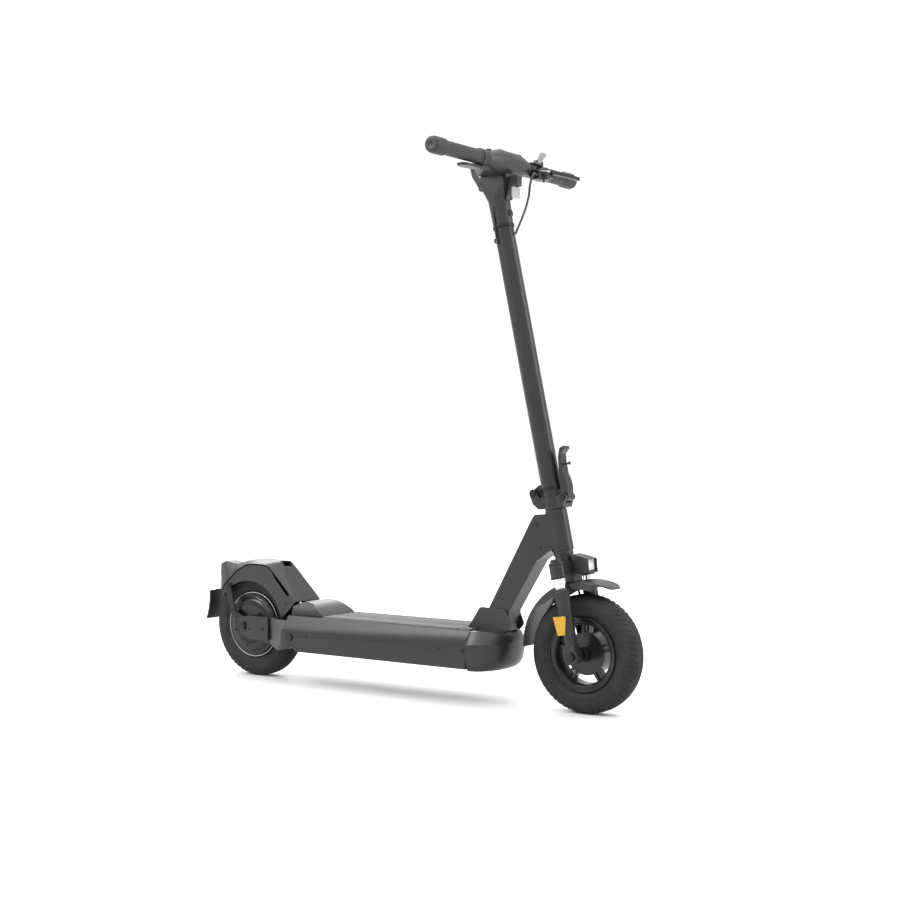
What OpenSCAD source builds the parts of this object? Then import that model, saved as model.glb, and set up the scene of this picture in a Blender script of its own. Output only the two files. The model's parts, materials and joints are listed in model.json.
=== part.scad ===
// Electric kick scooter. +X is the direction of travel, +Y the rider's left, +Z up.
// The origin lies on the ground, midway between the two ends and the two sides.

/* [Wheels] */
// Outside diameter of both tyres
tyre_d = 254; // [252:1:256]
// Width of both tyres
tyre_w = 60; // [56:1:62]
// Distance between the two axles
wheelbase = 931; // [928:1:933]

/* [Deck] */
// Width of the deck over its side walls
deck_w = 180; // [178:1:184]
// Height of the top of the deck frame above the ground
deck_top = 163; // [162:0.5:164]
// Thickness of the grip mat
mat_t = 3; // [2:0.5:4]

/* [Steering] */
// Lean of the steering axis from vertical, in degrees
rake = 12.2; // [12.1:0.05:12.3]
// Distance of each fork leg from the middle plane
leg_y = 60; // [60:0.5:61]
// Radius of the polished stanchions
stanchion_r = 12; // [11.5:0.25:12]

/* [Stem and handlebar] */
// Diameter of the stem tube
stem_d = 44; // [43:0.5:45]
// Width over both grip ends
bar_w = 568; // [560:2:576]
// Radius of the handlebar tube
bar_r = 11; // [10.5:0.25:11]

/* [Hidden] */
$fn = 64;

// Clearance of a running fit, and the gap between pieces that only lie together
fit = 0.05;
gap = 0.1;

tyre_r = tyre_d / 2;
front_x = 476.5;
rear_x = front_x - wheelbase;
bead_r = 80;
axle_r = 6;

// The steering axis leaves the ground at steer_x and leans back by the rake. Along it runs s, and
// across it, forward, runs u.
steer_x = front_x + 14;
function steer_u(x, z) = (x - steer_x) * cos(rake) + z * sin(rake);
function steer_s(x, z) = (steer_x - x) * sin(rake) + z * cos(rake);
fork_u = steer_u(front_x, tyre_r);
axle_s = steer_s(front_x, tyre_r);

deck_low = 81;
deck_front = 221;
deck_rear = -302;
deck_wall = 4;
side_top = 134;
shoulder_y = 72;
pivot_x = -284;
pivot_z = 114;
pivot_r = 6;

crown_s = [292, 332];
head_s = [352, 440];
base_top_s = 471.8;
steerer_r = 15;
socket_r = 16.5;
pin_u = -36.9;
pin_s = 484.7;
pin_r = 5;
latch_u = 34;
latch_s = 463;
knuckle_y = 11.6;

stand_x = -50;
stand_y = 66;
stand_z = 66;
stand_tilt = 55.5;

bar_x = 269;
bar_z = 1190;
pod_y = 82;
grip_end = bar_w / 2;
left_grip = 134;
right_grip = 110;
lever_x = 297;
lever_y = 113.5;

// Shapes along and across the object
module y_slab(y0, y1) {
    translate([0, y1, 0]) rotate([90, 0, 0]) linear_extrude(y1 - y0) children();
}
module x_slab(x0, x1) {
    translate([x0, 0, 0]) rotate([90, 0, 90]) linear_extrude(x1 - x0) children();
}
module y_rod(r, y0, y1) {
    translate([0, y1, 0]) rotate([90, 0, 0]) cylinder(r = r, h = y1 - y0);
}
module y_tube(r_out, r_in, y0, y1) {
    difference() {
        y_rod(r_out, y0, y1);
        y_rod(r_in, y0 - 1, y1 + 1);
    }
}
module y_spin(profile) {
    rotate([-90, 0, 0]) rotate_extrude() polygon(profile);
}
module both_sides() {
    children();
    mirror([0, 1, 0]) children();
}
module block(low, high) {
    translate(low) cube(high - low);
}
module on_steering() {
    translate([steer_x, 0, 0]) rotate([0, -rake, 0]) children();
}
module at_front_axle() {
    translate([front_x, 0, tyre_r]) children();
}
module at_rear_axle() {
    translate([rear_x, 0, tyre_r]) children();
}
module at_stand() {
    translate([stand_x, stand_y, stand_z]) rotate([-stand_tilt, 0, 0]) children();
}
module at_bar() {
    translate([bar_x, 0, bar_z]) children();
}

function arc(r, a0, a1, n, c = [0, 0]) =
    [for (i = [0 : n]) c + r * [cos(a0 + (a1 - a0) * i / n), sin(a0 + (a1 - a0) * i / n)]];
function both_halves(half) =
    concat(half, [for (i = [len(half) - 1 : -1 : 0]) [half[i][0], -half[i][1]]]);

// A tube swept along route points: each ring lies across the direction of its neighbours
function unit(v) = v / norm(v);
function ahead(p, i) = unit(p[min(i + 1, len(p) - 1)] - p[max(i - 1, 0)]);
function bend(p, t) =
    let (n = len(p) - 1, i = min(floor(t), n - 1), f = t - i,
        a = p[max(i - 1, 0)], b = p[i], c = p[i + 1], d = p[min(i + 2, n)])
    (2 * b + (c - a) * f + (2 * a - 5 * b + 4 * c - d) * f * f + (3 * b - a - 3 * c + d) * f * f * f) / 2;
module cord(route, r, rings, sides) {
    path = [for (i = [0 : rings - 1]) bend(route, i * (len(route) - 1) / (rings - 1))];
    points = [for (i = [0 : rings - 1]) let (t = ahead(path, i), a = unit(cross(t, [1, 0.2, 0])),
        b = cross(t, a)) for (k = [0 : sides - 1]) path[i]
            + r * (a * cos(360 * k / sides) + b * sin(360 * k / sides))];
    walls = [for (i = [0 : rings - 2]) for (k = [0 : sides - 1])
        let (m = (k + 1) % sides) [i * sides + k, i * sides + m, (i + 1) * sides + m, (i + 1) * sides + k]];
    start = [for (k = [sides - 1 : -1 : 0]) k];
    finish = [for (k = [0 : sides - 1]) (rings - 1) * sides + k];
    polyhedron(points, concat([start], walls, [finish]));
}

// Frame
module deck_section(t, low) {
    side = deck_w / 2 - t;
    half = [[side, low], [side, side_top - t / 2], [shoulder_y - t / 2, deck_top - t]];
    polygon([for (p = half) p, for (i = [2 : -1 : 0]) [-half[i][0], half[i][1]]]);
}
module deck_frame() color("#34373a") {
    difference() {
        x_slab(deck_rear, deck_front) deck_section(0, deck_low);
        x_slab(deck_rear - 1, deck_front + 1) deck_section(deck_wall, deck_low - 1);
        y_slab(-deck_w, deck_w) polygon([[-261, 75], [-302, 128], [-310, 128], [-310, 75]]);
        both_sides() translate([pivot_x, 0, pivot_z]) y_rod(pivot_r + fit, 80, 95);
        translate([charge_x, 0, charge_z]) y_rod(11 + fit, 80, 95);
    }
    block([-300, -12, deck_top - 1], [-264, 12, spring_top + 0.5]);
    block([-324, -40, spring_top], [-264, 40, spring_top + 6]);
}
spring_top = 176;
charge_x = 182;
charge_z = 112;

module bottom_cover() color("#1d1f21") {
    block([-250, -85.5, deck_low], [deck_front - 1, 85.5, deck_low + 3]);
    for (y = [-60 : 40 : 60]) block([-240, y - 4, deck_low - 2], [deck_front - 20, y + 4, deck_low + 0.5]);
    at_stand() {
        cylinder(r = 3, h = 24, center = true);
        for (cheek = [[7.2, 14], [-12, 28]]) translate([0, 0, cheek[0]]) {
            cylinder(r = 8, h = 4.8);
            translate([-8, -cheek[1], 0]) cube([16, cheek[1], 4.8]);
        }
    }
}
module grip_mat() color("#2b2d2f") difference() {
    block([-200, -shoulder_y + 3, deck_top + gap], [deck_front - 4, shoulder_y - 3, deck_top + mat_t]);
    block([shroud_x - gap, -28 - gap, deck_top - 1], [deck_front, 28 + gap, deck_top + mat_t + 1]);
}
shroud_x = 186;

cell_r = 10.5;
cell_pitch = 21.6;
module battery_pack() color("#3f6fa8") {
    low = deck_low + 5;
    difference() {
        block([-232, -76, low], [66, 76, low + 52]);
        block([-229, -73, low + 3], [63, 73, low + 53]);
    }
    for (column = [0 : 12], row = [0 : 1], side = [-1, 1])
        translate([-216 + column * cell_pitch, side * 36.2, low + 14 + row * cell_pitch])
            y_rod(cell_r, -35, 35);
}
module controller() color("#8c9094") {
    low = deck_low + 5;
    block([82, -45, low], [172, 45, low + 26]);
    for (y = [-40 : 10 : 40]) block([84, y - 1.5, low + 25], [170, y + 1.5, low + 36]);
}

module nose_shape(t) intersection() {
    translate([0, 0, 60]) linear_extrude(120) polygon(concat([[deck_front - t, -90 + t]],
        [for (a = [-90 : 7.5 : 90]) [deck_front + gap + (76 - t) * cos(a), (90 - t) * sin(a)]],
        [[deck_front - t, 90 - t]]));
    y_slab(-100, 100) polygon([[deck_front + gap - 2 * t, 76 + t], [262, 75 + t], [282 - t, 82 + t],
        [292 - t, 97 + t], [297 - t, 128], [297 - t, 152], [292 - t, 162 - t], [280, deck_top - t],
        [deck_front + gap - 2 * t, deck_top - t]]);
    x_slab(deck_front + gap - 2 * t, 320) polygon([[-76, 74], [-90, 90], [-90, side_top], [-shoulder_y,
        deck_top], [shoulder_y, deck_top], [90, side_top], [90, 90], [76, 74]]);
}
module nose_casting() color("#303336") {
    difference() {
        nose_shape(0);
        nose_shape(5);
    }
    both_sides() y_slab(24 + gap, 28) polygon([[shroud_x, deck_top + gap], [219, 212], [285, 210],
        [300, 176], [290, deck_top + gap]]);
}
module frame_neck() color("#3a3d40") difference() {
    union() {
        y_slab(-24, 24) polygon([[207, deck_top + gap], [235, 202], [352, 412], [359, 420], [397, 423],
            [414, 352], [388, 338], [380, 331], [364, 321], [323, 255], [293, 206], [286, deck_top + gap]]);
        on_steering() translate([0, 0, head_s[0]]) cylinder(r = 24, h = head_s[1] - head_s[0]);
    }
    on_steering() translate([0, 0, head_s[0] - 20]) cylinder(r = 18, h = head_s[1] - head_s[0] + 40);
}
module headset_cups() color("#18191a") on_steering() for (s = [[342, 352 - gap], [440 + gap, 441.6]])
    translate([0, 0, s[0]]) difference() {
        cylinder(r = 21.5, h = s[1] - s[0]);
        translate([0, 0, -1]) cylinder(r = steerer_r + fit, h = 20);
    }
module hump_section(t) {
    half = [[60 - t, deck_top + gap - 2 * t], [60 - t, 170], [56 - t, 182 - t], [44, 197 - t]];
    polygon([for (p = half) p, for (i = [3 : -1 : 0]) [-half[i][0], half[i][1]]]);
}
module tail_hump() color("#2a2c2e") difference() {
    intersection() {
        x_slab(-301, -200) hump_section(0);
        y_slab(-70, 70) polygon([[-301, 163], [-301, 183], [-290, 189], [-270, 196], [-245, 192],
            [-212, 172], [-202, 163]]);
    }
    intersection() {
        x_slab(-310, -200) hump_section(3);
        y_slab(-70, 70) polygon([[-310, 150], [-310, 178], [-301, 179], [-270, 192], [-247, 188],
            [-214, 168], [-206, 150]]);
    }
    block([-330, -40 - fit, deck_top], [-264 + fit, 40 + fit, spring_top + 6 + gap]);
}
module frame_bolts() color("#9a9da0") {
    both_sides() translate([pivot_x, 0, pivot_z]) {
        y_rod(pivot_r, 62, 90 + gap);
        y_rod(10, 90 + gap, 93);
    }
    both_sides() translate([deck_front - 9, 0, 122]) y_rod(4.5, 90 + gap, 92);
}
module charge_socket() color("#1a1b1c") translate([charge_x, 0, charge_z]) difference() {
    union() {
        y_rod(11, 72, 90.2);
        y_rod(13, 90.2, 92);
        for (x = [-9, 5]) {
            block([x, 90.2, 8], [x + 4, 92, 18]);
            block([x, 90.2, 12.3], [x + 4, 97, 18]);
        }
    }
    y_rod(8, 78, 95);
    translate([0, 94.5, 15]) rotate([0, 90, 0]) cylinder(r = 1.2 + fit, h = 40, center = true);
}
module charge_cover() color("#1a1b1c") translate([charge_x, 0, charge_z]) {
    y_rod(12, 92 + gap, 94.4);
    block([-4.8, 92.3, 8], [4.8, 94.4, 14]);
    translate([-4.8, 94.5, 15]) rotate([0, 90, 0]) cylinder(r = 2.1, h = 9.6);
    translate([-8.9, 94.5, 15]) rotate([0, 90, 0]) cylinder(r = 1.2, h = 17.8);
}

// Rear end
module swing_arm() color("#34373a") difference() {
    intersection() {
        y_slab(-90, 90) polygon([[-478, 128], [-471, 106], [-443, 97], [-371, 90], [-336, 77], [-300, 84],
            [-274, 92], [-268, 114], [-274, 140], [-288, 150], [-330, 150], [-349, 152], [-443, 152],
            [-472, 146]]);
        translate([0, 0, 60]) linear_extrude(110) difference() {
            polygon(both_halves([[-268, 84.5], [-314, 84.5], [-372, 60], [-480, 60]]));
            polygon(both_halves([[-321, 62], [-345, 60], [-380, 50], [-490, 50]]));
        }
        x_slab(-500, -260) polygon([[-84.5, 70], [-84.5, 130], [-70, 152.5], [70, 152.5], [84.5, 130],
            [84.5, 70]]);
    }
    both_sides() {
        translate([pivot_x, 0, pivot_z]) y_rod(pivot_r + fit, 60, 95);
        at_rear_axle() y_rod(axle_r + fit, 40, 70);
    }
    block([-306, -50, 92], [-250, 50, 138]);
}
module rear_axle() color("#8c9094") at_rear_axle() {
    y_rod(axle_r, -69, 69);
    both_sides() y_rod(10.5, 60 + gap, 67, $fn = 6);
}
module motor_stator() color("#a5723a") at_rear_axle() difference() {
    union() {
        y_rod(34, -14, 14);
        for (k = [0 : 17]) rotate([0, 20 * k, 0]) {
            block([30, -13, -2.5], [60, 13, 2.5]);
            block([56, -13, -8], [60, 13, 8]);
            block([36, -15, -4.5], [54, 15, 4.5]);
        }
    }
    y_rod(axle_r + fit, -20, 20);
}
module axle_covers() color("#3a3d40") both_sides() y_slab(60 + gap, 66)
    polygon([[-442, 99], [-438, 97], [-376, 97], [-373, 100], [-373, 148], [-377, 152], [-438, 152],
        [-442, 148]]);

// The hood's side panels end at a seam arc, from which its shoulders lean in to a narrow ridge
fender_y = 46;
ridge_y = 18;
fender_side = [[-541, 200], [-541, 217], [-517.6, 239], [-489, 262.7], [-460.5, 275.6], [-438, 278.5],
    [-404, 277.7], [-388, 273], [-376, 264], [-302, 193], [-318, 177], [-350, 146], [rear_x, tyre_r]];
fender_ridge = [[-519, 240], [-519, 272], [-472, 284.5], [-430, 286.5], [-372, 284], [-325, 204]];
tail_side = [[-541, 200], [-541, 217], [-517.6, 239], [-500, 215]];
tail_ridge = [[-574, 203], [-570, 272], [-553, 278], [-519, 272], [-505, 240], [-505, 215]];
module fender_hood(t) {
    for (pair = [[fender_side, fender_ridge], [tail_side, tail_ridge]]) hull() {
        y_slab(-fender_y + t, fender_y - t) offset(delta = -t) polygon(pair[0]);
        y_slab(-ridge_y + t, ridge_y - t) offset(delta = -t) polygon(pair[1]);
    }
}
module rear_fender() color("#2f3234") difference() {
    fender_hood(0);
    fender_hood(3);
    at_rear_axle() y_rod(131, -31.5, 31.5);
    at_rear_axle() y_rod(108, -60, 60);
    y_slab(-fender_y + 3, fender_y - 3)
        polygon([[-318, 192], [-304.6, 191], [-300, 170], [-335, 150], [-336, 166], [-330.5, 184]]);
    block([-384, -14, 272], [-355, 14, 300]);
}
module fender_stays() color("#b9bcbf") both_sides() y_slab(fender_y + gap, 50 - gap)
    polygon([[-530, 218], [-524, 226], [-512, 228], [-494, 160], [-466, 146], [-464, 134], [-478, 130],
        [-508, 150]]);
module mudflap() color("#1b1c1d") {
    y_slab(-38, 38) polygon([[-589, 204], [-588.6, 180], [-592.5, 155], [-599.5, 132], [-603.5, 133],
        [-597, 157], [-593, 182], [-593.4, 204]]);
    y_slab(-16, 16) polygon([[-592, 200], [-592, 206], [-574 - gap, 206], [-574 - gap, 203.5], [-588, 200]]);
}
module tail_lamp() color("#8f1d1a") y_slab(-15, 15)
    polygon([[-572.1, 240], [-570.4, 268], [-574.5, 269], [-576.5, 241]]);
module rear_springs() color("#6d7073") both_sides() translate([-313, 28, 150 + gap])
    rotate_extrude() polygon(concat([[6.5, 0], [9.5, 0]],
        [for (i = [1 : 9]) [i % 2 == 0 ? 9.5 : 8, i * (spring_top - 150 - 2 * gap) / 10]],
        [[9.5, spring_top - 150 - 2 * gap], [6.5, spring_top - 150 - 2 * gap]]));

// Rear wheel
module motor_shell() color("#2c2e30") at_rear_axle() {
    difference() {
        y_spin([[66, -24], [76, -24], [bead_r - gap, -26], [bead_r - gap, -16], [bead_r - 8, -12],
            [bead_r - 8, 12], [bead_r - gap, 16], [bead_r - gap, 26], [76, 24], [66, 24]]);
        y_rod(66, -16, 16);
    }
    for (k = [0 : 23]) rotate([0, 15 * k, 0]) block([61.6, -13, -6.5], [65, 13, 6.5]);
}
module hub_covers() color("#303234") at_rear_axle() both_sides() y_spin([[axle_r + fit, 24 + gap],
    [74, 24 + gap], [74, 28], [66, 28], [62, 35], [44, 38], [40, 36], [22, 37], [18, 41],
    [axle_r + fit, 41]]);
function tyre_edge(side, lift, w, n) =
    [for (i = [0 : n]) [103 + (lift - 103) * sin(90 * i / n), side + (w - side) * cos(90 * i / n)]];
module tyre() color("#161718") rotate([-90, 0, 0]) rotate_extrude() difference() {
    polygon(both_halves(concat([[bead_r, 21], [88, 26.5], [95, 29.2]], tyre_edge(9, tyre_r, tyre_w / 2, 7))));
    polygon(both_halves(concat([[bead_r - 1, 14], [86, 17], [94, 22]], tyre_edge(4, 118, 24, 5))));
}
module rear_tyre() at_rear_axle() tyre();

// Steering and fork
module fork_crown() color("#2f3235") on_steering() difference() {
    union() {
        both_sides() translate([fork_u, leg_y, crown_s[0]]) {
            cylinder(r = socket_r, h = crown_s[1] - crown_s[0] - 5);
            cylinder(r = socket_r - 4, h = crown_s[1] - crown_s[0]);
        }
        translate([0, 0, crown_s[0] + 10]) {
            linear_extrude(24) polygon([[-14, 0], [-14, 18], [0, 60], [28, 60], [28, -60], [0, -60],
                [-14, -18]]);
            cylinder(r = 20, h = 342 - gap - crown_s[0] - 10);
            cylinder(r = steerer_r, h = 466 - crown_s[0] - 10);
        }
    }
    cylinder(r = steerer_r - 3, h = 480);
    both_sides() translate([fork_u, leg_y, 0]) cylinder(r = stanchion_r + fit, h = crown_s[1] - 6);
}
module stanchions() color("#d6d8da") on_steering() both_sides()
    translate([fork_u, leg_y, 205]) difference() {
        cylinder(r = stanchion_r, h = crown_s[1] - 6.2 - 205);
        translate([0, 0, -1]) cylinder(r = stanchion_r - 2.5, h = crown_s[1] - 12 - 205);
    }
module fold_base() color("#2f3235") difference() {
    on_steering() difference() {
        union() {
            translate([0, 0, 441.8]) cylinder(r = 23, h = base_top_s - 441.8);
            both_sides() y_slab(knuckle_y + 0.4, 21)
                polygon(concat([[-10, 446], [-10, base_top_s], [-24, base_top_s]],
                    arc(9, 0, 180, 8, [pin_u, pin_s]), [[-42, 462], [-30, 448]]));
            y_slab(-20, 20) polygon([[-12, 446], [-12, base_top_s], [-42, base_top_s], [-42, 462],
                [-30, 448]]);
            y_slab(-20, 20) polygon(concat([[15, 441.8], [15, 468]],
                arc(9, 100, -80, 8, [latch_u, latch_s]), [[30, 441.8]]));
        }
        y_slab(-knuckle_y - 0.4, knuckle_y + 0.4) polygon(concat([[latch_u - 13, 480]],
            arc(12.5, 180, 280, 8, [latch_u, latch_s]), [[60, 445], [60, 480]]));
        translate([0, 0, 430]) cylinder(r = steerer_r + fit, h = 37);
        translate([pin_u, 0, pin_s]) y_rod(pin_r + fit, -30, 30);
        translate([latch_u, 0, latch_s]) y_rod(4 + fit, -30, 30);
    }
}
module hinge_pins() color("#9a9da0") on_steering() {
    translate([pin_u, 0, pin_s]) y_rod(pin_r, -21, 21);
    translate([latch_u, 0, latch_s]) y_rod(4, -20, 20);
    both_sides() {
        translate([pin_u, 0, pin_s]) y_rod(7.5, 21 + gap, 23.5);
        translate([latch_u, 0, latch_s]) y_rod(6, 20 + gap, 22);
    }
}
lamp_z = [297, 337];
module headlight_shell() color("#26282a") difference() {
    union() {
        y_slab(-20, 20) polygon([[445, lamp_z[1] + 2], [470, lamp_z[1] - 2], [488, lamp_z[1] - 7],
            [491, lamp_z[0] + 3], [470, lamp_z[0]], [440, 306]]);
        y_slab(-11, 11) polygon([[430, 318], [430, 330], [450, 334], [450, 316]]);
    }
    on_steering() block([-60, -60, 200], [28 + gap, 60, 420]);
    y_slab(-17, 17) polygon([[455, lamp_z[0] + 8], [455, lamp_z[1] - 8], [500, lamp_z[1] - 8],
        [500, lamp_z[0] + 6]]);
}
module headlight_lens() color("#e8ecef") y_slab(-17 + gap, 17 - gap)
    polygon([[484, lamp_z[0] + 8], [482, lamp_z[1] - 8 - gap], [478, lamp_z[1] - 8 - gap],
        [480, lamp_z[0] + 8]]);

fender_r = 150;
module at_fender() {
    translate([front_x + 7, 0, tyre_r + 7]) children();
}
// The front fender is narrower towards both ends, and its tip is a tongue with no side walls
fender_plan = [[318, 29], [350, 35], [400, 40], [440, 42], [500, 42], [522, 36], [538, 27], [548, 15],
    [552, 4]];
module front_fender() color("#2f3234") {
    intersection() {
        at_fender() rotate([90, 0, 0]) rotate_extrude(angle = 115, start = 65)
            polygon(both_halves([[fender_r, 34], [fender_r - 4, 39], [fender_r - 18, 42],
                [fender_r - 18, 39.5], [fender_r - 6, 37], [fender_r - 3, 33]]));
        translate([0, 0, 100]) linear_extrude(220) polygon(both_halves(fender_plan));
    }
    difference() {
        on_steering() block([fork_u - 12, -16, 270], [fork_u + 12, 16, crown_s[0] + 10 - gap]);
        at_fender() y_rod(fender_r + gap, -40, 40);
    }
}
stop_z = 190;
front_cable = [[424.1, 36, 294], [426.3, 41, 282.8], [425.9, 46, 270.5], [427.3, 47.5, 254.4],
    [430.9, 48, 237.8], [432, 47, 212], [431, 43, stop_z + 0.7]];
module front_brake_cable() color("#141516") cord(front_cable, 2.5, 40, 8);

leg_top = 265;
leg_in = 50;
lens_y = 76;
module reflector_outline() {
    polygon([[437.7, 209], [468, 213], [467, 173], [450, 171]]);
}
module lower_legs() color("#3c3f42") {
    on_steering() difference() {
        union() both_sides() {
            translate([fork_u, leg_y, 150]) cylinder(r1 = 13.5, r2 = 16.8, h = leg_top - 150);
            block([fork_u - 13.5, leg_in, axle_s], [fork_u + 13.5, 72, 151]);
            translate([fork_u, 0, axle_s]) y_rod(17, leg_in, 72);
        }
        both_sides() {
            translate([fork_u, leg_y, 178]) cylinder(r = stanchion_r + fit, h = 100);
            translate([fork_u, 0, axle_s]) y_rod(axle_r + fit, 40, 80);
        }
    }
    both_sides() y_slab(72.5, lens_y - gap) reflector_outline();
}
module front_axle() color("#9a9da0") at_front_axle() {
    y_rod(axle_r, -78, 78);
    both_sides() y_rod(10.5, 72 + gap, 79, $fn = 6);
}
cam_x = -26;
module brake_plate() color("#4a4d50") at_front_axle() {
    difference() {
        union() {
            y_rod(45, 34, 38);
            y_rod(12, 38, leg_in - gap);
            translate([-cam_x, 0, 0]) y_rod(4, 12, 34.5);
            y_slab(34, 38) polygon([[-20, 38], [-40, stop_z - tyre_r], [-52, stop_z - tyre_r], [-42, 14]]);
            block([-52, 37, stop_z - tyre_r - 5], [-40, 47, stop_z - tyre_r]);
        }
        y_rod(axle_r + fit, 10, 60);
        translate([cam_x, 0, 0]) y_rod(4 + fit, 30, 42);
    }
}
module side_reflectors() color("#d39a1c") both_sides() y_slab(lens_y, 79.5) reflector_outline();
module fork_springs() color("#8c9094") on_steering() both_sides() translate([fork_u, leg_y, 178 + gap])
    difference() {
        cylinder(r = 9, h = 139);
        translate([0, 0, -1]) cylinder(r = 6, h = 150);
    }
module front_rim() color("#2c2e30") at_front_axle() difference() {
    union() {
        y_spin([[63, -14], [68, -22], [bead_r - gap, -24], [bead_r - gap, -16], [72, -12], [72, 12],
            [bead_r - gap, 16], [bead_r - gap, 24], [68, 22], [63, 14]]);
        difference() {
            y_rod(46, -8, 33);
            y_rod(40, 8, 40);
        }
        y_rod(16, -32, 8);
        for (k = [0 : 4]) rotate([0, 54 - 72 * k, 0]) for (z = [-9, 3])
            block([42, -9, z], [67, 9, z + 6]);
    }
    y_rod(axle_r + fit, -60, 60);
}
module front_tyre() at_front_axle() tyre();
module brake_shoe() at_front_axle() y_slab(12, 30) difference() {
    polygon(concat(arc(39.4, 14, 164, 24), arc(30, 158, 20, 24)));
    translate([-cam_x, 0]) circle(r = 5);
}
module upper_brake_shoe() color("#6b5a48") brake_shoe();
module lower_brake_shoe() color("#6b5a48") translate([0, 0, tyre_r]) mirror([0, 0, 1])
    translate([0, 0, -tyre_r]) brake_shoe();
module brake_arm() color("#9a9da0") at_front_axle() translate([cam_x, 0, 0]) {
    y_rod(4, 12, 43);
    y_slab(38 + gap, 42) difference() {
        hull() {
            circle(r = 7);
            translate([-20, 29]) circle(r = 4);
        }
        translate([-20, 29]) circle(r = 1.6);
    }
}

// Stem and handlebar
tube_top = 1080;
module stem_tube() color("#313437") on_steering() difference() {
    union() {
        translate([0, 0, base_top_s + 0.4]) cylinder(r = 23, h = 22);
        translate([0, 0, base_top_s + 10]) cylinder(r = stem_d / 2, h = tube_top - base_top_s - 10);
        y_slab(-knuckle_y, knuckle_y)
            polygon(concat([[-12, 478], [-12, 500], [-24, 500]], arc(9, 90, 270, 8, [pin_u, pin_s])));
        block([14, -10, 474], [25.5, 10, 482]);
    }
    translate([0, 0, 486]) cylinder(r = stem_d / 2 - 2.5, h = 700);
    translate([pin_u, 0, pin_s]) y_rod(pin_r + fit, -30, 30);
}
neck_top = 1163 - gap;
hook_u = -33.6;
hook_s = 1174;
module neck_shape() {
    hull() {
        on_steering() translate([0, 0, tube_top + gap]) cylinder(r = 22.4, h = 2, $fn = 32);
        on_steering() translate([1, 0, 1138]) cylinder(r = 24.5, h = 1, $fn = 32);
    }
    hull() {
        on_steering() translate([1, 0, 1138]) cylinder(r = 24.5, h = 1, $fn = 32);
        for (x = [222.5, 268]) translate([x, 0, neck_top - 10]) y_rod(10, -26, 26, $fn = 32);
    }
}
module stem_neck() color("#313437") difference() {
    union() {
        neck_shape();
        on_steering() translate([0, 0, tube_top - 40]) cylinder(r = stem_d / 2 - 2.6, h = 60);
        block([254, -20, neck_top - 10], [282, 20, 1206]);
        on_steering() both_sides() y_slab(6.1, 10)
            polygon(concat([[-16, 1160], [-16, 1180]], arc(7, 60, 270, 8, [hook_u, hook_s])));
    }
    at_bar() y_rod(bar_r + fit, -30, 30);
    on_steering() translate([hook_u, 0, hook_s]) y_rod(3, -20, 20);
    on_steering() y_slab(-6, 6) polygon([[hook_u + 8, 1150], [hook_u + 8, 1205], [hook_u - 10, 1205],
        [hook_u - 10, 1150]]);
}
bar_end = grip_end - 4;
module handlebar() color("#26282a") at_bar() y_tube(bar_r, bar_r - 2, -bar_end, bar_end);
module grip(start) y_spin([[bar_r + fit, start], [17.5, start], [17.5, start + 6], [15.5, start + 8],
    [15.5, grip_end - 50], [18.5, grip_end - 40], [18.5, grip_end - 8], [16, grip_end - 1.5],
    [12, grip_end], [0, grip_end], [0, bar_end + gap], [bar_r + fit, bar_end + gap]]);
module grips() color("#1c1d1e") at_bar() {
    grip(left_grip);
    mirror([0, 1, 0]) grip(right_grip);
}
module pod_shape(t) hull() {
    at_bar() y_rod(27 - t, -38 + t, 38 - t, $fn = 32);
    at_bar() y_rod(16.5 - t, -pod_y + t, pod_y - t, $fn = 32);
    translate([222, 0, 1178]) y_rod(15 - t, -28 + t, 28 - t, $fn = 32);
}
button_y = -68;
module display_pod() color("#3c3f42") difference() {
    pod_shape(0);
    pod_shape(2.5);
    block([253, -21, 1160], [283, 21, 1170]);
    at_bar() y_rod(bar_r + fit, -100, 100);
    translate([bar_x, button_y, bar_z]) cylinder(r = 6 + fit, h = 40);
}
module power_button() color("#17181a") translate([bar_x, button_y, bar_z + 13.5])
    cylinder(r = 6, h = 9);
module brake_perch() color("#1f2122") difference() {
    union() {
        at_bar() y_rod(17, pod_y + 2, 101);
        block([278, 86, 1167], [297, 126, 1182]);
        translate([lever_x, lever_y, 1167]) cylinder(r = 14, h = 15);
        block([271, 90, 1203], [285, 132, 1206]);
        for (y = [105, 128.2]) block([276, y, 1205], [285, y + 3, 1213]);
        translate([lever_x, 0, 1175]) y_rod(4, pod_y + 3, 96);
        block([290, 86, 1168], [301, 100, 1182]);
    }
    at_bar() y_rod(bar_r + fit, 60, 140);
    at_bar() y_rod(18, left_grip - gap, 150);
    translate([0, 0, 1172.8]) linear_extrude(6.4) polygon([[283, 99], [330, 99], [330, 140], [283, 140]]);
    translate([lever_x, lever_y, 1150]) cylinder(r = 2.5 + fit, h = 60);
    translate([280.5, 0, 1209.5]) y_rod(1.5 + fit, 100, 140);
}
module throttle_housing() color("#1f2122") at_bar() difference() {
    union() {
        y_rod(19, -92.8, -pod_y - 2);
        y_rod(19, -right_grip + 1, -104.2);
        y_rod(12.8, -105, -92);
    }
    y_rod(bar_r + fit, -120, -60);
}
module throttle_lever() color("#26282a") at_bar() {
    difference() {
        union() {
            y_rod(18.5, -104.1, -92.9);
            block([-8, -104.1, -27], [8, -92.9, -14]);
        }
        y_rod(12.8 + fit, -110, -90);
    }
    translate([0, 0, -27]) linear_extrude(6)
        polygon([[-8, -100], [8, -100], [10, -140], [9, -166], [2, -174], [-12, -172], [-17, -150]]);
}
module bell_body() color("#c9ccce") translate([lever_x, lever_y, 1182 + gap]) {
    rotate_extrude() polygon([[0, 0], [14, 0], [16, 2], [16, 7], [13, 11], [8, 13.2], [0, 14]]);
    translate([0, 0, -20]) cylinder(r = 2.5, h = 20.5);
}
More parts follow.
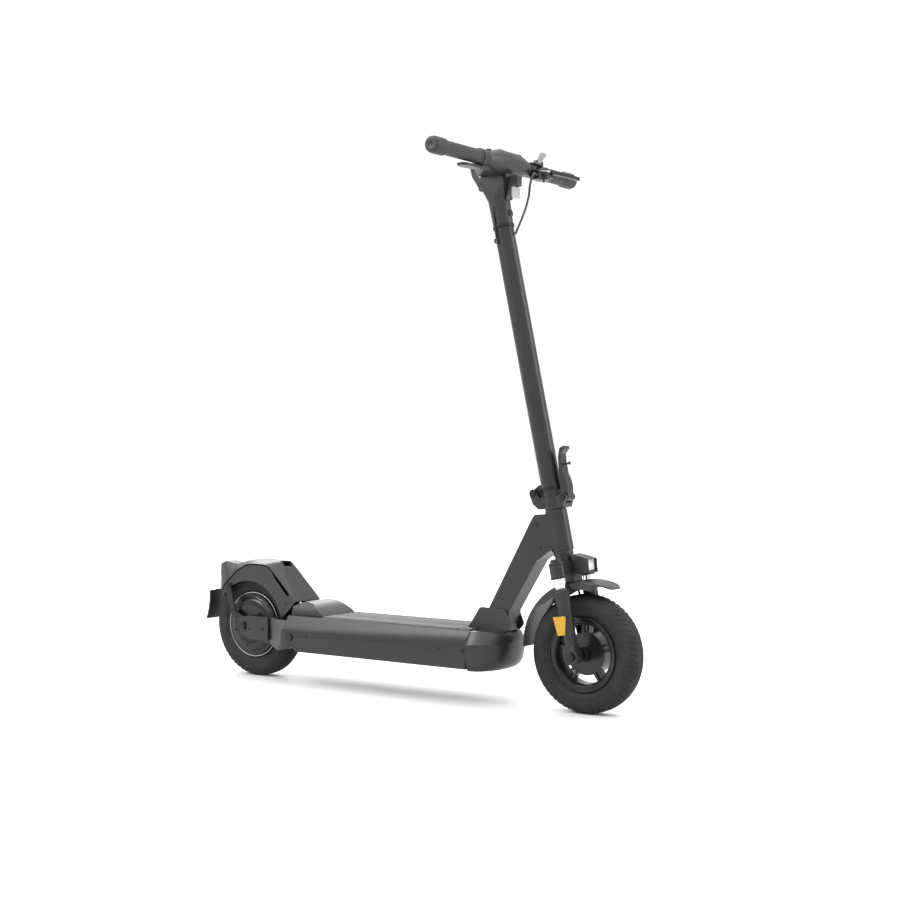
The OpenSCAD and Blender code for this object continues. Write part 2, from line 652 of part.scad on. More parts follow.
module bell_striker() color("#d4d6d8") difference() {
    union() {
        translate([280.5, 0, 1209.5]) y_rod(3, 108.1, 128.1);
        x_slab(279, 282) polygon([[109, 1210], [127, 1210], [127, 1214.5], [132, 1215], [150, 1230],
            [149, 1234], [127, 1234], [123, 1230]]);
        translate([280.5, 0, 1209.5]) y_rod(1.5, 105.2, 131);
    }
}
module front_reflector() color("#eceeef") {
    y_slab(-9, 9) polygon([[275, 1112], [279, 1110], [291, 1137], [304, 1139], [305, 1161], [286, 1161],
        [282, 1146], [278, 1128]]);
    block([292, -12, 1113], [298, 12, 1137 - gap]);
}
upper_cable = [[297, pod_y + 3 - gap, 1175], [300, 68, 1176], [301, 56, 1164], [300, 50, 1146],
    [300, 46, 1125], [300, 34, 1097], [300, 21, 1076], [299, 7, 1054], [293.5, 0, 1034]];
module brake_cable() color("#141516") cord(upper_cable, 2.5, 60, 8);

// Small moving pieces
module latch_lever() color("#2a2c2e") on_steering() difference() {
    y_slab(-knuckle_y, knuckle_y) polygon(concat(arc(9.5, 200, 340, 8, [latch_u, latch_s]), [[45, 474],
        [47, 482], [45.5, 500], [42, 512], [42, 540], [44, 556], [55.5, 565], [54, 571], [44, 569],
        [36, 551], [32, 520], [30, 498], [27.5, 484]]));
    translate([latch_u, 0, latch_s]) y_rod(4 + fit, -20, 20);
    translate([37, 0, catch_s]) rotate([0, 90, 0]) cylinder(r = 2.2 + fit, h = 40);
}
catch_s = 533;
module safety_catch() color("#1d1e20") on_steering() translate([40.5, 0, catch_s]) rotate([0, 90, 0]) {
    cylinder(r = 2.2, h = 14);
    translate([0, 0, 13]) cylinder(r = 3.4, h = 3);
}
module fold_hook() color("#2a2c2e") on_steering() {
    y_slab(-5.8, 5.8) polygon(concat(arc(7, 20, -160, 10, [hook_u, hook_s]), [[-46, 1188], [-54, 1208],
        [-55, 1228], [-47, 1230], [-45, 1212], [-37, 1192], [-29, 1182]]));
    translate([-48.1, 0, 1228]) y_rod(6.5, -6.5, 6.5);
    translate([hook_u, 0, hook_s]) y_rod(3 - fit, -10, 10);
}
module brake_lever() color("#232527") difference() {
    union() {
        translate([lever_x, lever_y, 1173]) cylinder(r = 12, h = 6);
        translate([0, 0, 1173]) linear_extrude(6)
            polygon([[lever_x - 7, lever_y], [298, 138], [309, 138], [lever_x + 11, lever_y]]);
        translate([0, 0, 1173]) linear_extrude(18) polygon([[298, 131], [298, 138], [309, 138], [309, 131]]);
        translate([0, 0, 1183]) linear_extrude(8) polygon([[298, 131], [303, 160], [306, 200], [306, 246],
            [309, 250], [313, 248], [314, 200], [311, 160], [309, 131]]);
    }
    translate([lever_x, lever_y, 1150]) cylinder(r = 2.5 + fit, h = 60);
}
module kickstand() color("#2c2e30") at_stand() {
    difference() {
        union() {
            cylinder(r = 7, h = 13.8, center = true);
            rotate([0, -90, 0]) cylinder(r = 5.5, h = 62);
            translate([-61, 0, 0]) rotate([0, -90, 0]) cylinder(r = 6.5, h = 6);
            translate([-67, 0, 0]) rotate([0, -90, 0]) cylinder(r1 = 6.5, r2 = 4.5, h = 5.5);
        }
        cylinder(r = 3 + fit, h = 40, center = true);
    }
}

deck_frame();
bottom_cover();
grip_mat();
battery_pack();
controller();
nose_casting();
frame_neck();
headset_cups();
tail_hump();
frame_bolts();
charge_socket();
charge_cover();
swing_arm();
rear_axle();
motor_stator();
axle_covers();
rear_fender();
fender_stays();
mudflap();
tail_lamp();
rear_springs();
motor_shell();
hub_covers();
rear_tyre();
fork_crown();
stanchions();
fold_base();
hinge_pins();
headlight_shell();
headlight_lens();
front_fender();
front_brake_cable();
lower_legs();
front_axle();
brake_plate();
side_reflectors();
fork_springs();
front_rim();
front_tyre();
brake_arm();
upper_brake_shoe();
lower_brake_shoe();
stem_tube();
stem_neck();
handlebar();
grips();
display_pod();
brake_perch();
throttle_housing();
bell_body();
front_reflector();
brake_cable();
latch_lever();
safety_catch();
fold_hook();
brake_lever();
throttle_lever();
bell_striker();
power_button();
kickstand();
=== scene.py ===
# Looks for the electric kick scooter: every length below is in millimetres until it meets a mesh.
import json
import math

import bpy
import numpy as np
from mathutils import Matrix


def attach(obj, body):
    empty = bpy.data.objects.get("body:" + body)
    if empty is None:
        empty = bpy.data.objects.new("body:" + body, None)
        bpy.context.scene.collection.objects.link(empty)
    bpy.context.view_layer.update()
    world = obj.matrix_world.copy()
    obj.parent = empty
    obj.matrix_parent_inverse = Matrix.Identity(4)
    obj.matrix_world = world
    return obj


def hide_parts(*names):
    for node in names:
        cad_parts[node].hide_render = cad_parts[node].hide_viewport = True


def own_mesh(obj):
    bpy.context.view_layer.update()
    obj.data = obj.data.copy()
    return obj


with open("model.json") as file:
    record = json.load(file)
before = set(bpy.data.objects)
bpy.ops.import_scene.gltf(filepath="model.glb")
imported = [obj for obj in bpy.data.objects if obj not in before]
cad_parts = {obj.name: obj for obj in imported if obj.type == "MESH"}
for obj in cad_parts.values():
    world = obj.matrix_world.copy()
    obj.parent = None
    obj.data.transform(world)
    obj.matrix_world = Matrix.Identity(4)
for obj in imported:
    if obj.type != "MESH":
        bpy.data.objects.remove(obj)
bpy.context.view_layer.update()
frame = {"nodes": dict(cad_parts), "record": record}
print("frame loaded:", len(frame["nodes"]), "nodes")

mm = 0.001
nodes = frame["nodes"]

layout = {"frontX": 476.5, "rearX": -454.5, "axleZ": 127.0, "steerX": 490.5, "rake": 12.2,
          "barX": 269.0, "barZ": 1190.0, "gripEnd": 284.0, "legU": 13.15, "legY": 60, "deckY": 90.0}
cosR, sinR = math.cos(math.radians(layout["rake"])), math.sin(math.radians(layout["rake"]))


def fromSteering(u, s):
    # u runs forward across the steering axis and s along it
    return layout["steerX"] - s * sinR + u * cosR, s * cosR + u * sinR


cameraLook = {"pos": (2.09498, -2.82271, 0.58631), "ahead": (-0.57356, 0.81913, -0.00792), "lens": 60.868,
              "sensor": 36.0, "clip": 50}
lightLook = {"key": ((-1.9, -2.6, 3.0), (1.6, 1.6), 75), "rim": ((-2.4, 2.6, 2.4), (1.6, 1.6), 60),
             "edge": ((3.2, 1.6, 2.0), (0.7, 2.6), 45)}      # each is its place, its size and its power
lightAim = (0, 0, 0.5)
skyLook = {"power": 3.2, "spread": 100, "lean": 0.12, "place": (0, 0, 3)}
worldStrength = 1.04


def makeCamera(look):
    data = bpy.data.cameras.new("camera")
    data.sensor_width, data.lens, data.clip_end = look["sensor"], look["lens"], look["clip"]
    camera = bpy.data.objects.new("camera", data)
    bpy.context.scene.collection.objects.link(camera)
    ahead = np.array(look["ahead"]) / np.linalg.norm(look["ahead"])
    camera.location = look["pos"]
    yaw = math.atan2(-ahead[0], ahead[1])
    camera.rotation_euler = (math.pi / 2 + math.asin(ahead[2]), 0, yaw)
    bpy.context.scene.camera = camera


def makeLamp(name, kind, place):
    data = bpy.data.lights.new(name, kind)
    lamp = bpy.data.objects.new(name, data)
    bpy.context.scene.collection.objects.link(lamp)
    lamp.location = place
    return data, lamp


def makeLight(name, place, size, power):
    data, lamp = makeLamp(name, "AREA", place)
    data.shape, data.size, data.size_y, data.energy = "RECTANGLE", size[0], size[1], power
    way = np.array(lightAim) - np.array(place)
    way = way / np.linalg.norm(way)
    lamp.rotation_euler = (math.acos(-way[2]), 0, math.atan2(-way[0], way[1]))


makeCamera(cameraLook)
for lightName, (place, size, power) in lightLook.items():
    makeLight(lightName, place, size, power)
skyData, skyLamp = makeLamp("sky", "SUN", skyLook["place"])      # soft light from above, even over the floor
skyData.energy, skyData.angle = skyLook["power"], math.radians(skyLook["spread"])
skyLamp.rotation_euler = (skyLook["lean"], 0, 0)

world = bpy.data.worlds.new("studio")
world.use_nodes = True
world.node_tree.nodes["Background"].inputs["Color"].default_value = (1, 1, 1, 1)
world.node_tree.nodes["Background"].inputs["Strength"].default_value = worldStrength
bpy.context.scene.world = world
bpy.context.scene.view_settings.view_transform = "Standard"
print("camera and lights placed")


class Wire:
    # a node's output that takes part in Python arithmetic: each operator adds its Math node
    def __init__(self, paint, socket):
        self.paint, self.socket = paint, socket

    def math(self, operation, first, second):
        return self.paint.add("ShaderNodeMath", {"operation": operation}, {0: first, 1: second})

    def __add__(self, other): return self.math("ADD", self, other)
    def __radd__(self, other): return self.math("ADD", other, self)
    def __sub__(self, other): return self.math("SUBTRACT", self, other)
    def __rsub__(self, other): return self.math("SUBTRACT", other, self)
    def __mul__(self, other): return self.math("MULTIPLY", self, other)
    def __rmul__(self, other): return self.math("MULTIPLY", other, self)


socketNames = {"color": "Base Color", "rough": "Roughness", "metal": "Metallic", "coat": "Coat Weight",
               "coatRough": "Coat Roughness", "level": "Specular IOR Level", "glow": "Emission Color",
               "glowPower": "Emission Strength"}


class Paint:
    # one material: its nodes, its object coordinates and its Principled shader
    def __init__(self, name):
        self.material = bpy.data.materials.new(name)
        self.material.use_nodes = True
        self.tree = self.material.node_tree
        self.shader = self.tree.nodes["Principled BSDF"]

    def add(self, kind, settings=None, values=None, out=0):
        node = self.tree.nodes.new(kind)
        for key, value in (settings or {}).items():
            setattr(node, key, value)
        for key, value in (values or {}).items():
            self.put(node.inputs[key], value)
        return Wire(self, node.outputs[out])

    def put(self, socket, value):
        if isinstance(value, Wire):
            self.tree.links.new(value.socket, socket)
        else:
            socket.default_value = value

    def place(self, stretch=(1, 1, 1)):
        spot = self.add("ShaderNodeTexCoord", out="Object")
        return self.add("ShaderNodeMapping", values={"Vector": spot, "Scale": stretch})

    def noise(self, scale, detail=3.0, stretch=(1, 1, 1), rough=0.55):
        return self.add("ShaderNodeTexNoise", values={"Vector": self.place(stretch), "Scale": scale,
                                                      "Detail": detail, "Roughness": rough})

    def ramp(self, wire, low, high):
        return self.add("ShaderNodeMapRange", {"interpolation_type": "SMOOTHSTEP"},
                        {"Value": wire, "From Min": low, "From Max": high})

    def mix(self, mask, first, second):
        # a colour mix node's factor, colours and result are sockets 0, 6, 7 and 2
        first, second = (side if isinstance(side, Wire) else (*side, 1) for side in (first, second))
        return self.add("ShaderNodeMix", {"data_type": "RGBA"}, {0: mask, 6: first, 7: second}, out=2)

    def bump(self, height, strength, distance):
        normal = self.add("ShaderNodeBump", values={"Height": height, "Strength": strength,
                                                    "Distance": distance})
        self.put(self.shader.inputs["Normal"], normal)

    def set(self, **values):
        for key, value in values.items():
            name = socketNames[key]
            if key in ("color", "glow") and not isinstance(value, Wire):
                value = (*value, 1)
            self.put(self.shader.inputs[name], value)
        return self.material


def coated(name, look):
    # base colour drifts over broad patches, a fine grain lifts the surface, faint scuffs catch dust
    paint = Paint(name)
    broad = paint.noise(look.get("patch", 9), 4)
    grain = paint.noise(look["grain"], 2, rough=0.6)
    scuff = paint.ramp(paint.noise(look.get("scuffScale", 60), 5, look.get("scuffRun", (1, 1, 4)), 0.7),
                       0.6, 0.78)
    wear = scuff * look.get("wear", 0.25)
    tone = paint.mix(broad, look["dark"], look["light"])
    paint.bump(grain, look.get("lift", 0.25), look.get("depth", 0.0004))
    return paint.set(color=paint.mix(wear, tone, look.get("dust", (0.2, 0.2, 0.2))),
                     rough=look["rough"] + (grain - 0.5) * look.get("roughDrift", 0.15) + wear * 0.3,
                     metal=look.get("metal", 0.0), level=look.get("level", 0.5),
                     coat=look.get("coat", 0.0), coatRough=0.2)


def brushed(name, look):
    # long fine lines along one axis over bright metal, with soft stains
    paint = Paint(name)
    lines = paint.noise(look["lines"], 3, look["run"], 0.65)
    stain = paint.ramp(paint.noise(14, 4), 0.45, 0.75)
    paint.bump(lines, look.get("lift", 0.15), 0.0003)
    return paint.set(color=paint.mix(stain * 0.5, look["light"], look["dark"]), metal=1.0,
                     rough=look["rough"] + lines * 0.12 + stain * 0.08)


def prism(name, look):
    # moulded reflector: small cube corners under a clear face
    paint = Paint(name)
    cells = paint.add("ShaderNodeTexVoronoi", {"feature": "DISTANCE_TO_EDGE"},
                      {"Vector": paint.place(), "Scale": look["cells"]})
    ridge = paint.ramp(cells, 0.0, 0.12)
    paint.bump(ridge, 0.9, 0.0015)
    return paint.set(color=paint.mix(ridge, look["dark"], look["light"]), rough=0.22, coat=0.3,
                     coatRough=0.08, level=0.5, glow=look["light"], glowPower=look.get("glow", 0.0))


def tyreRubber(name, look):
    # carbon black with a dusty bloom, scuffed paler on the crown
    paint = Paint(name)
    fine = paint.noise(900, 2)
    bloom = paint.ramp(paint.noise(28, 5), 0.4, 0.75)
    paint.bump(fine, 0.35, 0.0003)
    return paint.set(color=paint.mix(bloom, look["dark"], look["light"]),
                     rough=0.62 + fine * 0.2 + bloom * 0.08, level=0.35)


anthracite = {"dark": (0.013, 0.0133, 0.0137), "light": (0.019, 0.0193, 0.0197), "grain": 1400, "lift": 0.25,
              "depth": 0.0002, "rough": 0.34, "metal": 0.25, "wear": 0.10, "dust": (0.09, 0.09, 0.09)}
moulded = {"dark": (0.009, 0.0092, 0.0095), "light": (0.0135, 0.0138, 0.014), "grain": 1900, "lift": 0.3,
           "depth": 0.0002, "rough": 0.40, "wear": 0.12, "dust": (0.07, 0.07, 0.07)}
paints = {
    "frame_metal": coated("frame_metal", anthracite),
    "wheel_metal": coated("wheel_metal", {**anthracite, "dark": (0.012, 0.0125, 0.013),
                                          "light": (0.022, 0.0225, 0.023), "rough": 0.22, "metal": 0.5}),
    "shell_plastic": coated("shell_plastic", moulded),
    "black_plastic": coated("black_plastic", {**moulded, "dark": (0.006, 0.006, 0.0065),
                                              "light": (0.011, 0.011, 0.012), "rough": 0.38}),
    "button_plastic": coated("button_plastic", {**moulded, "rough": 0.2, "lift": 0.05, "coat": 0.6}),
    "catch_plastic": coated("catch_plastic", {**moulded, "dark": (0.008, 0.008, 0.008),
                                              "light": (0.014, 0.014, 0.014)}),
    "mat_rubber": coated("mat_rubber", {**moulded, "dark": (0.011, 0.0115, 0.012),
                                        "light": (0.018, 0.0185, 0.019), "rough": 0.5, "grain": 1100,
                                        "lift": 0.5}),
    "black_metal": coated("black_metal", {**anthracite, "dark": (0.010, 0.010, 0.011),
                                          "light": (0.017, 0.017, 0.018), "rough": 0.28, "metal": 0.5}),
    "cable_jacket": coated("cable_jacket", {**moulded, "dark": (0.010, 0.010, 0.011),
                                            "light": (0.016, 0.016, 0.017), "rough": 0.38}),
    "tyre_rubber": tyreRubber("tyre_rubber", {"dark": (0.007, 0.007, 0.0072),
                                              "light": (0.018, 0.018, 0.0183)}),
    "bright_steel": brushed("bright_steel", {"lines": 500, "run": (1, 1, 0.02), "rough": 0.08,
                                             "light": (0.86, 0.87, 0.89), "dark": (0.62, 0.63, 0.66)}),
    "plain_steel": brushed("plain_steel", {"lines": 700, "run": (1, 0.05, 1), "rough": 0.3,
                                           "light": (0.34, 0.345, 0.35), "dark": (0.2, 0.2, 0.205)}),
    "controller_metal": brushed("controller_metal", {"lines": 300, "run": (0.05, 1, 1), "rough": 0.4,
                                                     "light": (0.7, 0.7, 0.72), "dark": (0.5, 0.5, 0.52)}),
    "stator_copper": brushed("stator_copper", {"lines": 900, "run": (1, 0.2, 1), "rough": 0.35,
                                               "light": (0.72, 0.38, 0.2), "dark": (0.4, 0.2, 0.1)}),
    "shoe_iron": coated("shoe_iron", {**anthracite, "dark": (0.08, 0.065, 0.05), "light": (0.13, 0.11, 0.09),
                                      "grain": 700, "rough": 0.7}),
    "striker_plastic": coated("striker_plastic", {**moulded, "dark": (0.20, 0.205, 0.21), "rough": 0.25,
                                                  "light": (0.28, 0.285, 0.29), "lift": 0.1}),
    "reflector_white": prism("reflector_white", {"cells": 420, "dark": (0.30, 0.305, 0.31),
                                                 "light": (0.55, 0.555, 0.56)}),
    "reflector_amber": prism("reflector_amber", {"cells": 420, "dark": (0.40, 0.20, 0.0),
                                                 "light": (0.66, 0.36, 0.0)}),
    "lamp_red": prism("lamp_red", {"cells": 360, "dark": (0.05, 0.002, 0.002),
                                   "light": (0.14, 0.004, 0.004)}),
    "lens_clear": prism("lens_clear", {"cells": 300, "dark": (0.65, 0.67, 0.70),
                                       "light": (0.92, 0.94, 0.96)}),
    "cell_wrap": coated("cell_wrap", {**moulded, "dark": (0.04, 0.12, 0.32), "light": (0.06, 0.16, 0.4),
                                      "rough": 0.3, "lift": 0.05}),
}
gapShadePaint = coated("painted_gap_shade", {**moulded, "dark": (0.001, 0.001, 0.001), "light": (0.002, 0.002, 0.002),
                                "wear": 0.0,
                                "rough": 0.9, "level": 0.0})      # painted shade: a near-black sheet without specular that stands for the shade inside a gap
slotOf = {entry["node"]: entry["material_slot"] for entry in frame["record"]["subparts"]}
for nodeName, nodeObject in nodes.items():
    nodeObject.data.materials.clear()
    nodeObject.data.materials.append(paints[slotOf[nodeName]])
print("materials made:", len(paints))


pieceBevel = {"segments": 3, "angle": 30}
nodeBevel = {"segments": 2, "angle": 34, "weld": 0.00001}


def makePiece(name, points, faces, body, slotName, replaced=(), smooth=True):
    # points is an n by 3 array in millimetres, faces a list or an array of corner numbers
    mesh = bpy.data.meshes.new(name)
    mesh.from_pydata((np.asarray(points, float) * mm).tolist(), [], [list(map(int, f)) for f in faces])
    mesh.polygons.foreach_set("use_smooth", np.full(len(mesh.polygons), smooth))
    mesh.materials.append(paints[slotName])
    piece = bpy.data.objects.new(name, mesh)
    bpy.context.scene.collection.objects.link(piece)
    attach(piece, body)
    if replaced:
        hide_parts(*replaced)
    return piece


def gridFaces(rows, columns, wrapRows, wrapColumns):
    # each face joins a row to the next and a column to the next
    i = np.arange(rows if wrapRows else rows - 1)[:, None]
    j = np.arange(columns if wrapColumns else columns - 1)[None, :]
    nextI, nextJ = (i + 1) % rows, (j + 1) % columns
    quads = np.stack([i * columns + j, i * columns + nextJ, nextI * columns + nextJ, nextI * columns + j], -1)
    return quads.reshape(-1, 4).tolist()


def merged(parts):
    # several (points, faces) pairs as one
    points, faces, start = [], [], 0
    for somePoints, someFaces in parts:
        points.append(somePoints)
        faces += [[k + start for k in f] for f in someFaces]
        start += len(somePoints)
    return np.concatenate(points), faces


def addBevel(piece, width, segments, angle):
    bevel = piece.modifiers.new("edge", "BEVEL")
    bevel.width, bevel.segments, bevel.limit_method = width * mm, segments, "ANGLE"
    bevel.angle_limit = math.radians(angle)
    return bevel


def slab(outline, y0, y1):
    # an outline in x and z, given thickness across the object
    flat = np.array(outline, float)
    area = np.sum(flat[:, 0] * np.roll(flat[:, 1], -1) - np.roll(flat[:, 0], -1) * flat[:, 1])
    flat = flat if area > 0 else flat[::-1]
    n = len(flat)
    near = np.column_stack([flat[:, 0], np.full(n, min(y0, y1)), flat[:, 1]])
    far = np.column_stack([flat[:, 0], np.full(n, max(y0, y1)), flat[:, 1]])
    sides = [[i, (i + 1) % n, n + (i + 1) % n, n + i] for i in range(n)]
    faces = [list(range(n)), [n + i for i in range(n)][::-1]] + [f[::-1] for f in sides]
    return np.concatenate([near, far]), [f[::-1] if k < 2 else f for k, f in enumerate(faces)]


def mirrored(part):
    points, faces = part
    return points * [1, -1, 1], [f[::-1] for f in faces]


def spun(profile, centre, turns=96, closed=True):
    # a profile of (radius, y) turned about the y axis through centre (x, z)
    profile = np.array(profile, float)
    a = np.linspace(0, 2 * math.pi, turns, endpoint=False)[:, None]
    grid = np.stack([centre[0] + profile[:, 0] * np.cos(a),
                     np.broadcast_to(profile[:, 1], (turns, len(profile))),
                     centre[1] + profile[:, 0] * np.sin(a)], -1)
    return grid.reshape(-1, 3), gridFaces(turns, len(profile), True, closed)


def softened(profile, size=1.0, steps=3):
    # each corner of a profile becomes a short curve that starts and ends size away from it
    p = np.array(profile, float)
    before, after = np.roll(p, 1, 0) - p, np.roll(p, -1, 0) - p
    lengthB = np.linalg.norm(before, axis=1, keepdims=True)
    lengthA = np.linalg.norm(after, axis=1, keepdims=True)
    first = p + before / np.maximum(lengthB, 1e-9) * np.minimum(size, lengthB * 0.45)
    last = p + after / np.maximum(lengthA, 1e-9) * np.minimum(size, lengthA * 0.45)
    t = np.linspace(0, 1, steps + 1)[None, :, None]
    curve = (1 - t) ** 2 * first[:, None] + 2 * t * (1 - t) * p[:, None] + t ** 2 * last[:, None]
    return curve.reshape(-1, 2)


def swept(path, radius, sides=12):
    # a round tube along a path of points, with a frame carried from ring to ring
    path = np.array(path, float)
    ahead = np.gradient(path, axis=0)
    ahead /= np.linalg.norm(ahead, axis=1, keepdims=True)
    side = np.cross(ahead, [0.13, 0.21, 0.97])
    side /= np.linalg.norm(side, axis=1, keepdims=True)
    up = np.cross(ahead, side)
    a = np.linspace(0, 2 * math.pi, sides, endpoint=False)[None, :, None]
    around = np.cos(a) * side[:, None] + np.sin(a) * up[:, None]
    grid = path[:, None] + np.asarray(radius).reshape(-1, 1, 1) * around
    rows = len(path)
    faces = [f[::-1] for f in gridFaces(rows, sides, False, True)]
    faces += [list(range(sides)), [(rows - 1) * sides + k for k in range(sides)][::-1]]
    return grid.reshape(-1, 3), [f[::-1] for f in faces]


def smoothPath(points, count):
    # a Catmull-Rom curve through given points
    p = np.array(points, float)
    p = np.concatenate([[2 * p[0] - p[1]], p, [2 * p[-1] - p[-2]]])
    t = np.linspace(0, len(p) - 3 - 1e-9, count)
    i = t.astype(int)
    f = (t - i)[:, None]
    a, b, c, d = p[i], p[i + 1], p[i + 2], p[i + 3]
    return (2 * b + (c - a) * f + (2 * a - 5 * b + 4 * c - d) * f ** 2 + (3 * b - a - 3 * c + d) * f ** 3) / 2


def capScrew(centre, radius, y0, y1, side=1):
    # a low domed head with a six-sided socket, turned about an axis across the object
    lift = (y1 - y0) * side
    profile = [(radius * 0.98, y0 * side), (radius, (y0 + y1) / 2 * side), (radius * 0.8, y1 * side),
               (radius * 0.5, y1 * side), (radius * 0.45, y0 * side + lift * 0.4),
               (0.01, y0 * side + lift * 0.4)]
    points, faces = spun(profile, centre, 24, False)
    return points, faces if side > 0 else [f[::-1] for f in faces]


def lathe(profile, origin, axis, turns=48):
    # a profile of (radius, height) turned about any axis through origin
    profile = np.array(profile, float)
    axis = np.array(axis, float) / np.linalg.norm(axis)
    side = np.cross(axis, [0, 1, 0] if abs(axis[1]) < 0.9 else [1, 0, 0])
    side /= np.linalg.norm(side)
    up = np.cross(axis, side)
    a = np.linspace(0, 2 * math.pi, turns, endpoint=False)[:, None, None]
    grid = (np.array(origin, float) + profile[None, :, :1] * (np.cos(a) * side + np.sin(a) * up)
            + profile[None, :, 1:] * axis)
    return grid.reshape(-1, 3), gridFaces(turns, len(profile), True, True)


def facingOut(part):
    # turns every face over when the enclosed volume comes out negative
    points, faces = part
    total = 0.0
    for face in faces:
        p = points[face]
        total += np.einsum("ij,ij->i", np.cross(p[1:-1], p[2:]), np.broadcast_to(p[0], p[2:].shape)).sum()
    return (points, faces) if total > 0 else (points, [f[::-1] for f in faces])


def build(name, parts, body, slotName, replaced=(), smooth=True, edge=0.0):
    # one piece from several closed parts, with its edges eased by a live bevel where a width is given
    points, faces = merged([facingOut(part) for part in parts])
    piece = makePiece(name, points, faces, body, slotName, replaced, smooth)
    if edge:
        addBevel(piece, edge, pieceBevel["segments"], pieceBevel["angle"])
    return piece


def bothSides(shape):
    # a list of parts from a function of the side, 1 or -1
    return [shape(side) for side in (1, -1)]


def ribbon(path, width, y0, y1):
    # a strip of constant width along a path in x and z, thickened across the object
    path = np.array(path, float)
    way = np.gradient(path, axis=0)
    way /= np.linalg.norm(way, axis=1, keepdims=True)
    normal = np.column_stack([-way[:, 1], way[:, 0]]) * width / 2
    return slab(np.concatenate([path + normal, (path - normal)[::-1]]), y0, y1)


def arcSweep(profile, centre, start, end, steps):
    # a closed profile of (radius, y) carried round part of a circle in the x z plane, both ends capped
    profile = np.array(profile, float)
    a = np.radians(np.linspace(start, end, steps))[:, None]
    grid = np.stack([centre[0] + profile[:, 0] * np.cos(a),
                     np.broadcast_to(profile[:, 1], (steps, len(profile))),
                     centre[1] + profile[:, 0] * np.sin(a)], -1)
    faces = gridFaces(steps, len(profile), False, True)
    faces += [list(range(len(profile)))[::-1], [(steps - 1) * len(profile) + k for k in range(len(profile))]]
    return grid.reshape(-1, 3), faces


def easeEdges(name, width, look):
    # welds a CAD node's split corners and rounds its sharp edges, all on live modifiers
    node = nodes[name]
    mesh = node.data
    for extra in ("custom_normal", "sharp_edge"):
        if extra in mesh.attributes:
            mesh.attributes.remove(mesh.attributes[extra])
    mesh.polygons.foreach_set("use_smooth", np.full(len(mesh.polygons), True))
    node.modifiers.new("weld", "WELD").merge_threshold = look["weld"]
    addBevel(node, width, look["segments"], look["angle"]).use_clamp_overlap = True
    node.modifiers.new("normals", "WEIGHTED_NORMAL").keep_sharp = True


edgeWidths = {"deck_frame": 1.2, "bottom_cover": 0.6, "frame_neck": 2.2, "swing_arm": 1.6, "axle_covers": 1.2,
              "rear_fender": 1.2, "front_fender": 0.9, "tail_hump": 1.2, "mudflap": 0.8, "tail_lamp": 0.8,
              "fender_stays": 0.7, "fork_crown": 1.2, "fold_base": 1.0, "headlight_shell": 1.0,
              "headlight_lens": 0.5, "lower_legs": 1.2, "brake_plate": 0.8, "side_reflectors": 0.7,
              "stem_tube": 0.8, "stem_neck": 1.0, "display_pod": 1.0, "brake_perch": 0.9,
              "throttle_housing": 0.8, "throttle_lever": 0.9, "front_reflector": 0.6, "latch_lever": 1.0,
              "safety_catch": 0.6, "fold_hook": 0.9, "brake_lever": 1.2, "bell_striker": 0.5,
              "kickstand": 0.6, "charge_cover": 0.5, "charge_socket": 0.5, "frame_bolts": 0.6,
              "rear_axle": 0.8, "front_axle": 0.8, "hinge_pins": 0.6, "headset_cups": 0.3, "motor_shell": 0.6,
              "front_rim": 0.8, "brake_arm": 0.5, "bell_body": 0.3, "power_button": 0.6, "hub_covers": 0.4}
for nodeName, width in edgeWidths.items():
    easeEdges(nodeName, width, nodeBevel)
print("node edges rounded:", len(edgeWidths))

tyreLook = {"turns": 840, "across": 66, "blocks": 58, "shoulder": 2.0, "zigzag": 1.8, "sipe": 0.8,
            "bead": [[80, 21], [84, 24.2], [88, 26.5], [91.5, 28.0], [95, 29.2]], "arcSteps": 14,
            "arc": ((103, 24), (9, 21)), "inner": [[80, -14], [84, -17], [112, -6], [112, 6], [84, 17],
                                                   [80, 14]],
            "treadFrom": 99, "treadHalf": 39, "ribs": (9.5, 1.6, 1.4), "lean": 0.035, "sipeLean": 0.11,
            "walls": ((1.3, 93, 1.3), (0.9, 103, 1.0)), "widest": 30}
rimLook = {"lip": [(79.6, 24.3), (79.6, 26.2), (77.4, 26.2), (77.4, 24.3)], "soft": 0.5, "turns": 128,
           "valve": [(74, 0, 0), (66, 3, 1), (58, 7, 2)], "valveSize": 2.6, "valveSteps": 12}


def pulse(phase, width):
    # a smooth notch: 1 in the middle of the groove, 0 outside it
    d = np.abs((phase + 0.5) % 1.0 - 0.5) / (width / 2)
    return np.clip(1.25 - 1.25 * d ** 3, 0, 1)


